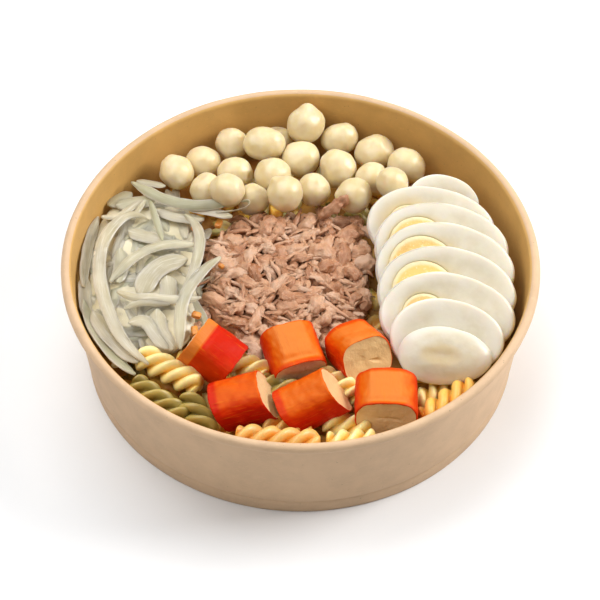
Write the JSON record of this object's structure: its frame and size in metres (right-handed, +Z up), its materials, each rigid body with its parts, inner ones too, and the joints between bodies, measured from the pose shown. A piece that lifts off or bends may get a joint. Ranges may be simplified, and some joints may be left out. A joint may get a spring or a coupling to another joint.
{
  "type": "pasta salad in a paper bowl",
  "caption": "Round brown paper bowl of pasta spirals topped with mozzarella pearls, onion strips, tuna flakes, a sliced boiled egg and crab stick pieces.",
  "frame": {"origin": "middle of the bowl, on the surface that its foot stands on", "axes": "+Z up; -Y towards the front, where the crab sticks lie; +X towards the sliced egg"},
  "size_m": [0.185, 0.185, 0.0532],
  "materials": {
    "paper": "matte brown paper, thinly coated inside",
    "pasta": "boiled pasta in yellow, orange and green, moist sheen",
    "mozzarella": "moist, pale cream, soft sheen",
    "onion": "raw, translucent, moist",
    "tuna": "cooked, fibrous, slightly oily",
    "egg_white": "boiled, smooth, slightly translucent",
    "egg_yolk": "boiled, crumbly, matte",
    "crab_stick": "orange skin round a white inside, moist"
  },
  "bodies": {
    "root": {"bowl": "paper", "pasta_bed": "pasta", "onion_heap": "onion", "tuna_heap": "tuna", "pearl_01": "mozzarella", "pearl_02": "mozzarella", "pearl_03": "mozzarella", "pearl_04": "mozzarella", "pearl_05": "mozzarella", "pearl_06": "mozzarella", "pearl_07": "mozzarella", "pearl_08": "mozzarella", "pearl_09": "mozzarella", "pearl_10": "mozzarella", "pearl_11": "mozzarella", "pearl_12": "mozzarella", "pearl_13": "mozzarella", "pearl_14": "mozzarella", "pearl_15": "mozzarella", "pearl_16": "mozzarella", "pearl_17": "mozzarella", "pearl_18": "mozzarella", "pearl_19": "mozzarella", "pearl_20": "mozzarella", "pearl_21": "mozzarella", "egg_white_1": "egg_white", "egg_white_2": "egg_white", "egg_white_3": "egg_white", "egg_white_4": "egg_white", "egg_white_5": "egg_white", "egg_white_6": "egg_white", "egg_white_7": "egg_white", "egg_white_8": "egg_white", "egg_yolk_2": "egg_yolk", "egg_yolk_3": "egg_yolk", "egg_yolk_4": "egg_yolk", "egg_yolk_5": "egg_yolk", "egg_yolk_6": "egg_yolk", "crab_stick_1": "crab_stick", "crab_stick_2": "crab_stick", "crab_stick_3": "crab_stick", "crab_stick_4": "crab_stick", "crab_stick_5": "crab_stick", "crab_stick_6": "crab_stick"}
  },
  "joints": []
}
